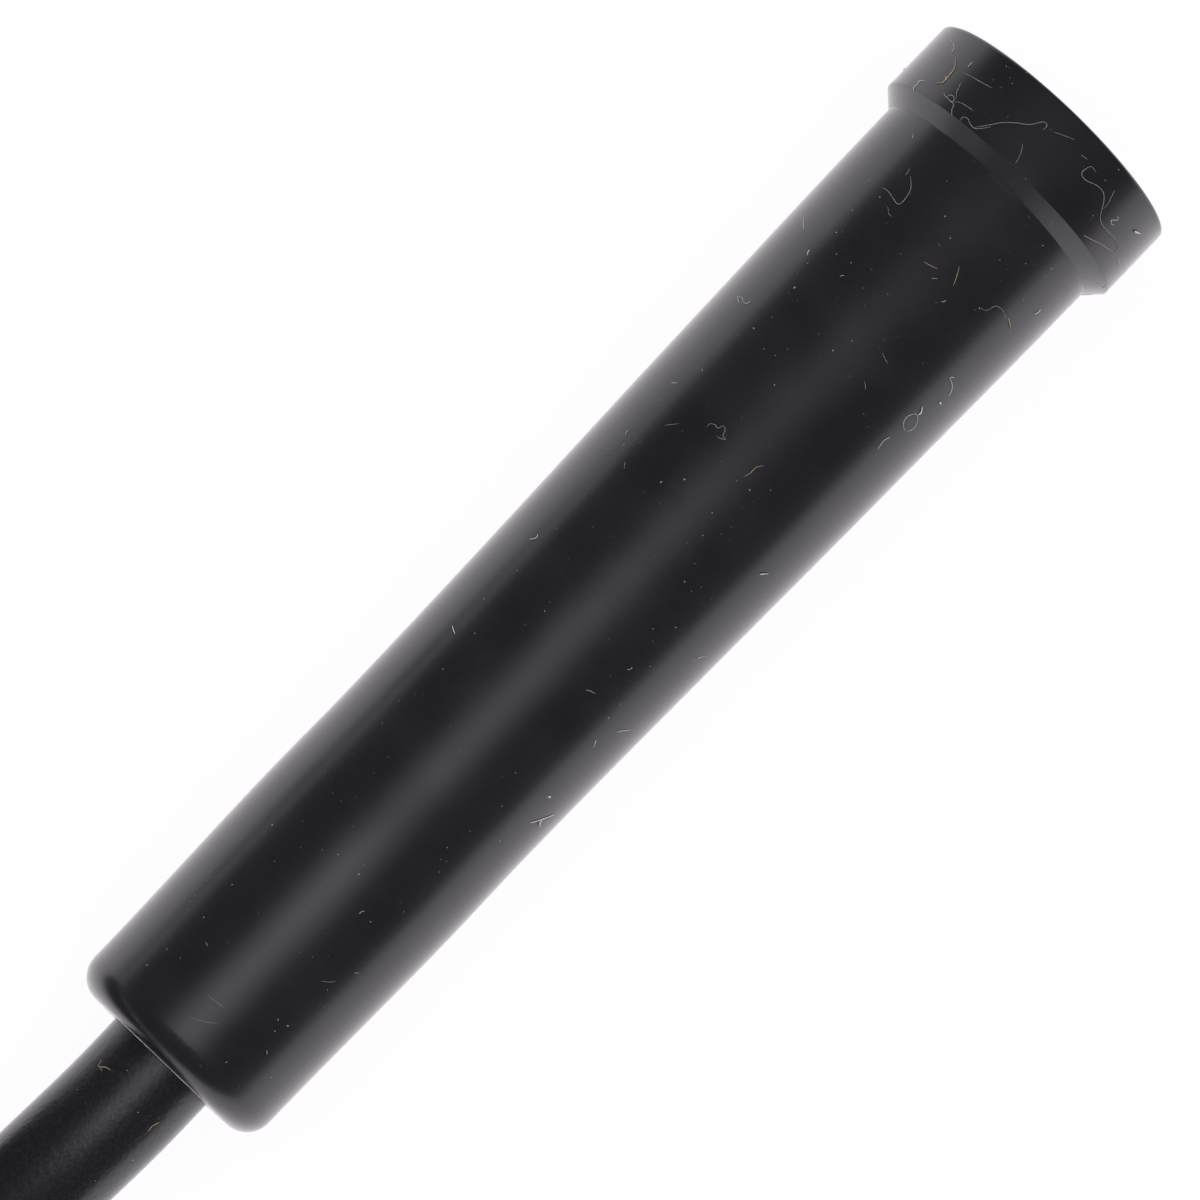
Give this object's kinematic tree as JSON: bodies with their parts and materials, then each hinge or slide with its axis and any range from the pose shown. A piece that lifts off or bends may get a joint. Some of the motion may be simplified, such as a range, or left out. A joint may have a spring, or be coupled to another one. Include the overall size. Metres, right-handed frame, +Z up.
{
  "type": "cable shutter release",
  "caption": "Hand-held electric camera release: soft tapered grip with a collar, recessed sprung button, thin cord and a miniature jack plug.",
  "frame": {"origin": "under the middle of the handle, on the surface that the collar's rim rests on", "axes": "+X along the handle towards the button, +Z up, cord leaving towards -X with its coil towards +Y"},
  "size_m": [0.1127, 0.0713, 0.0122],
  "materials": {
    "grip_rubber": "fine satin, black",
    "housing_plastic": "moulded, black",
    "bezel_plastic": "semi-gloss, black",
    "button_plastic": "satin, charcoal black",
    "plunger_acetal": "machined, ivory",
    "turned_brass": "turned",
    "finger_bronze": "rolled spring strip",
    "spring_steel": "drawn wire and stamped strip",
    "carrier_phenolic": "moulded, brown",
    "solder": "set solder",
    "core_black": "extruded insulation",
    "core_white": "extruded insulation",
    "core_red": "extruded insulation",
    "cord_jacket": "extruded, fine grain, black",
    "plug_moulding": "moulded, black",
    "pin_nickel": "nickel plate",
    "pin_insulator": "moulded, black"
  },
  "bodies": {
    "handle": {"grip_sleeve": "grip_rubber", "switch_housing": "housing_plastic", "button_bezel": "bezel_plastic", "return_spring": "spring_steel", "guide_bush": "turned_brass", "contact_carrier": "carrier_phenolic", "carrier_screw": "spring_steel", "common_contact": "finger_bronze", "focus_contact": "finger_bronze", "release_contact": "finger_bronze", "solder_beads": "solder", "common_wire": "core_black", "focus_wire": "core_white", "release_wire": "core_red", "cord_ferrule": "turned_brass", "cord_inner_end": "cord_jacket", "cord_lead": "cord_jacket", "cord_coil": "cord_jacket", "cord_tail": "cord_jacket", "plug_cord_end": "cord_jacket", "plug_boot": "plug_moulding", "plug_shell": "plug_moulding", "plug_sleeve_contact": "pin_nickel", "plug_rear_insulator": "pin_insulator", "plug_ring_contact": "pin_nickel", "plug_front_insulator": "pin_insulator", "plug_tip_contact": "pin_nickel", "plug_common_wire": "core_black", "plug_focus_wire": "core_white", "plug_release_wire": "core_red"},
    "button": {"push_button": "button_plastic", "plunger": "plunger_acetal", "contact_ring": "turned_brass", "retaining_clip": "spring_steel"}
  },
  "joints": [
    {"name": "button_press", "type": "slide", "parent": "handle", "child": "button", "axis": [-1, 0, 0], "range_m": [0, 0.0017], "stiffness_N_per_m": 500, "springref_m": -0.0012, "deforming": ["return_spring"]}
  ]
}
